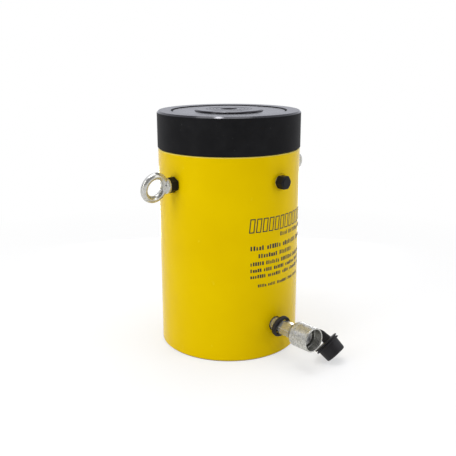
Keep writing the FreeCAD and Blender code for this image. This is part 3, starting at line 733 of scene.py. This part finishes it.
# The collar: turned sleeve with a chamfered back, a knurled band each side of its line and its mouth.
collar = {"outer": 14.2, "back": 117.5, "mouth": 148.1, "line": 126.8, "knurlWidth": 1.5, "knurlHigh": 0.16}


def makeCollar(c):
    out, back, mouth, line = c["outer"], c["back"], c["mouth"], c["line"]
    sleeve = lathe(softened([
        (10.3, back), (10.9, back), (out, back + 5, 0.5), (out, line - 0.5), (out - 0.5, line - 0.2),
        (out - 0.5, line + 0.2), (out, line + 0.5), (out, mouth - 0.9, 0.4), (out - 0.75, mouth, 0.3),
        (12.9, mouth, 0.2), (12.5, mouth - 0.6, 0.2), (12.5, 138.1), (12.0, 137.6), (12.0, 125.1), (12.7, 124.4),
        (12.7, back + 4), (10.3, back + 4)], 0.12), 192)
    thread = ridge(12.52, 1.8, 4.8, 1.5, 0.4, 0.55, 138.6, side=-1, steps=64)
    bands = [grow(knurl, {"Radius": out, "Start": start, "Length": length, "Around": 58, "Rows": rows,
                          "Width": c["knurlWidth"], "Height": c["knurlHigh"], "Material": collarZinc})
             for start, length, rows in ((123.2, 2.4, 3), (128.4, 14.4, 13))]
    return makePiece("collarSleeve", joined(sleeve, thread, *bands), collarZinc, "collar",
                     ["coupler_collar"], portPlace)


makeCollar(collar)
print("coupler made")

# Dust plug: ring on the neck, strap and stepped plug, one soft moulding.
dustPlug = {"down": 41.5, "side": 22.0, "aside": 42.2, "out": 145.6, "up": -30.823,
            "loop": 95.0, "loopHole": 9.2, "loopOuter": 13.1, "loopHalf": 2.4, "loopTilt": 12.0,
            "strapHalf": 5.0, "strapThick": 1.5, "strapUp": 4.0, "strapRun": 14.0, "bend": 7.0,
            "strapSides": 24, "strapSquare": 0.62, "rootWide": 1.25, "rootThick": 2.4, "rootShare": 0.3}


def bentRoute(points, radius, gap=0.9):
    # straight runs joined by arcs, as evenly spaced points
    line = [points[0]]

    def run(to):
        start = line[-1]
        steps = max(1, round((to - start).length / gap))
        line.extend(start.lerp(to, k / steps) for k in range(1, steps + 1))

    for before, corner, after in zip(points, points[1:], points[2:]):
        back, on = (before - corner).normalized(), (after - corner).normalized()
        half = back.angle(on) / 2
        run(corner + back * radius / math.tan(half))
        middle = corner + (back + on).normalized() * radius / math.sin(half)
        start, end = line[-1] - middle, corner + on * radius / math.tan(half) - middle
        steps = max(2, round(start.angle(end) * radius / gap))
        line.extend(middle + start.normalized().slerp(end.normalized(), k / steps) * radius
                    for k in range(1, steps + 1))
    run(points[-1])
    return line


def makeDustPlug(d):
    down, side = math.radians(d["down"]), math.radians(d["side"])
    ahead = Vector((-math.sin(down), -math.cos(down) * math.sin(side), math.cos(down) * math.cos(side)))
    rise = (Vector((1, 0, 0)) - ahead * ahead.x).normalized()
    nose = Vector((d["up"], -d["aside"], d["out"]))
    plug = lathe(softened([
        (0, 0.25), (7.4, 0.25, 1.0), (8.2, 0, 0.6), (12.7, 0, 1.8), (13.7, 14.5, 0.3), (16, 14.5), (16, 16.2),
        (14.3, 16.2, 0.3), (14.3, 17.6, 0.3), (16, 17.6), (16, 19.3), (0, 19.3)], 0.45), 160)
    turn = Vector((0, 0, 1)).rotation_difference(-ahead).to_matrix().to_4x4()
    bmesh.ops.transform(plug, matrix=Matrix.Translation(nose) @ turn, verts=plug.verts)
    hole, outer, thick = d["loopHole"], d["loopOuter"], d["loopHalf"]
    loop = lathe(softened([(hole, -thick), (outer, -thick), (outer, thick), (hole, thick)], 1.2, 5), 128)
    lean = Matrix.Translation((0, 0, d["loop"])) @ Matrix.Rotation(math.radians(-d["loopTilt"]), 4, "Y")
    bmesh.ops.transform(loop, matrix=lean, verts=loop.verts)
    last = nose - ahead * 16.9 + rise * d["strapUp"]
    route = [Vector((-3.2, -(hole + outer) / 2, d["loop"])), Vector((-8.5, -22, d["loop"] + 1)),
             last - ahead * d["strapRun"] - Vector((1.5, 0, 0)), last]
    line = bentRoute(route, d["bend"])
    count = len(line) - 1
    strap = bmesh.new()
    thick = Vector((0, 0, 1))
    before = None
    first = None
    sides, square = d["strapSides"], d["strapSquare"]
    for k, point in enumerate(line):
        along = (line[min(k + 1, count)] - line[max(k - 1, 0)]).normalized()
        thick = (thick - along * thick.dot(along)).normalized()
        wide = along.cross(thick)
        # the strap widens and thickens towards the plug
        root = max(0, 1 - (count - k) / count / d["rootShare"]) ** 2
        halfWide = d["strapHalf"] * (1 + (d["rootWide"] - 1) * root)
        halfThick = d["strapThick"] * (1 + (d["rootThick"] - 1) * root)
        row = []
        for i in range(sides):
            a = math.tau * i / sides
            # rounded bar: a squashed superellipse
            x = math.copysign(abs(math.cos(a)) ** square, math.cos(a)) * halfWide
            y = math.copysign(abs(math.sin(a)) ** square, math.sin(a)) * halfThick
            row.append(strap.verts.new(point + wide * x + thick * y))
        if before:
            for i in range(sides):
                j = (i + 1) % sides
                strap.faces.new([before[i], before[j], row[j], row[i]])
        else:
            first = row
        before = row
    strap.faces.new(first)
    strap.faces.new(list(reversed(before)))
    bmesh.ops.recalc_face_normals(strap, faces=strap.faces)
    return makePiece("dustPlug", joined(plug, loop, strap), plugRubber, "plug",
                     ["dust_plug"], portPlace, sharp=40)


makeDustPlug(dustPlug)
print("dust plug made")

# CAD solids that are right as they are get their finish only.
finishes = {"wiper_ring": polyurethane, "piston_seal": polyurethane, "backup_ring": whitePlastic,
            "guide_ring_lower": bronze, "guide_ring_upper": bronze, "saddle_o_ring": rubber,
            "plug_seal_washer": zinc, "collar_retaining_ring": springSteel, "coupler_o_ring": rubber,
            "valve_spring": springSteel, "poppet_seal": rubber}
for name, material in finishes.items():
    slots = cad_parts[name].material_slots
    if not slots:
        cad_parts[name].data.materials.append(material)
    for holder in slots:
        holder.material = material
print("carried-over solids finished")

# Pale floor and plain surroundings. The share of plain white is for camera and mirror rays only.
studio = {"white": (1.0, 1.0, 1.0), "mirrorWhite": (0.90, 0.915, 1.0), "mirrorDark": (0.10, 0.10, 0.11),
          "floorShare": 0.56, "fadeFrom": 0.2, "fadeTo": 0.75, "worldLight": 0.55, "floorSize": 6.0}


def seenRays(tree, path):
    # 1 for camera, mirror and transmission rays, 0 for the rest
    seen = addNode(tree, "ShaderNodeMath", {
        0: path.outputs["Is Camera Ray"], 1: path.outputs["Is Glossy Ray"]}, operation="MAXIMUM")
    seen = addNode(tree, "ShaderNodeMath", {
        0: seen.outputs[0], 1: path.outputs["Is Transmission Ray"]}, operation="MAXIMUM")
    return seen


def makeFloor(s):
    half = s["floorSize"] / 2
    shape = bmesh.new()
    corners = ((-1, -1), (1, -1), (1, 1), (-1, 1))
    shape.faces.new([shape.verts.new((x * half, y * half, 0)) for x, y in corners])
    floor = looseObject("floor", shape)
    material = bpy.data.materials.new("paleFloor")
    material.use_nodes = True
    tree = material.node_tree
    tree.nodes.remove(tree.nodes["Principled BSDF"])
    matt = addNode(tree, "ShaderNodeBsdfDiffuse", {"Color": (0.88, 0.88, 0.89, 1)})
    plain = addNode(tree, "ShaderNodeEmission", {"Color": (*s["white"], 1), "Strength": 1.0})
    path = addNode(tree, "ShaderNodeLightPath")
    seen = seenRays(tree, path)
    away = radiusOf(tree, addNode(tree, "ShaderNodeTexCoord").outputs["Object"])
    level = ramp(tree, away, s["floorShare"], 1.0, s["fadeFrom"], s["fadeTo"])
    share = addNode(tree, "ShaderNodeMath", {0: seen.outputs[0], 1: level}, operation="MULTIPLY")
    mix = addNode(tree, "ShaderNodeMixShader", {0: share.outputs[0], 1: matt.outputs[0], 2: plain.outputs[0]})
    tree.links.new(mix.outputs[0], tree.nodes["Material Output"].inputs["Surface"])
    floor.data.materials.append(material)


makeFloor(studio)


def makeWorld(s):
    world = bpy.data.worlds.new("plainRoom")
    world.use_nodes = True
    tree = world.node_tree
    tree.nodes.clear()
    path = addNode(tree, "ShaderNodeLightPath")
    seen = seenRays(tree, path)
    light = addNode(tree, "ShaderNodeBackground", {"Color": (0.97, 0.98, 1.0, 1), "Strength": s["worldLight"]})
    # mirror rays find a pale room behind and above the part, and a darker one on the camera's side
    ray = addNode(tree, "ShaderNodeTexCoord").outputs["Generated"]
    side = addNode(tree, "ShaderNodeSeparateXYZ", {0: ray})
    lift = addNode(tree, "ShaderNodeMath", {0: side.outputs["Z"], 1: 0.8}, operation="MULTIPLY")
    facing = addNode(tree, "ShaderNodeMath", {0: side.outputs["Y"], 1: lift.outputs[0]}, operation="ADD")
    pale = ramp(tree, facing.outputs[0], 0, 1, -0.1, 0.35)
    room = blendColour(tree, pale, s["mirrorDark"], s["mirrorWhite"])
    tone = blendColour(tree, path.outputs["Is Glossy Ray"], s["white"], room)
    white = addNode(tree, "ShaderNodeBackground", {"Color": tone, "Strength": 1.0})
    mix = addNode(tree, "ShaderNodeMixShader", {0: seen.outputs[0], 1: light.outputs[0], 2: white.outputs[0]})
    addNode(tree, "ShaderNodeOutputWorld", {"Surface": mix.outputs[0]})
    scene.world = world


makeWorld(studio)


def softBox(name, place, target, width, height, watts, shown=True):
    light = bpy.data.lights.new(name, "AREA")
    light.shape = "RECTANGLE"
    light.size, light.size_y = width, height
    light.energy = watts
    thing = bpy.data.objects.new(name, light)
    thing.location = place
    thing.rotation_euler = (Vector(target) - Vector(place)).to_track_quat("-Z", "Y").to_euler()
    thing.visible_camera = shown
    scene.collection.objects.link(thing)


softBox("topBox", (-0.04, 0.02, 1.2), (0, 0, 0.15), 1.0, 0.8, 8.0)
softBox("topSpark", (-0.16, -0.16, 1.2), (0, 0, 0.2), 0.10, 0.10, 0.8)
softBox("leftStrip", (-0.85, -0.70, 0.55), (0, 0, 0.15), 0.30, 1.0, 4.2)
softBox("rightStrip", (1.0, -0.35, 0.5), (0, 0, 0.15), 0.30, 1.0, 2.2)
# low panels behind, seen only as the pale bands along the barrel's two edges
softBox("leftGlare", (-0.16, 0.44, 0.07), (-0.085, 0, 0.07), 0.13, 0.14, 0.35, shown=False)
softBox("rightGlare", (0.16, 0.44, 0.07), (0.085, 0, 0.07), 0.13, 0.14, 0.25, shown=False)

view = {"place": (0.0, -0.814331, 0.359730), "pitch": 15.084, "yaw": 0.093, "roll": -0.102,
        "focal": 677.9, "frame": 456, "sensor": 36}


def makeCamera(v):
    # angles in degrees, focal length and frame in pixels of the photo
    camera = bpy.data.cameras.new("photoCamera")
    camera.sensor_width = v["sensor"]
    camera.lens = v["focal"] / v["frame"] * v["sensor"]
    camera.clip_start = 0.01
    thing = bpy.data.objects.new("photoCamera", camera)
    thing.location = v["place"]
    yaw = Matrix.Rotation(math.radians(v["yaw"]), 3, "Z")
    tilt = Matrix.Rotation(math.radians(90 - v["pitch"]), 3, "X")
    roll = Matrix.Rotation(math.radians(v["roll"]), 3, "Z")
    thing.rotation_euler = (yaw @ tilt @ roll).to_euler()
    scene.collection.objects.link(thing)
    scene.camera = thing


makeCamera(view)
scene.view_settings.view_transform = "Standard"
print("floor, light and camera set")
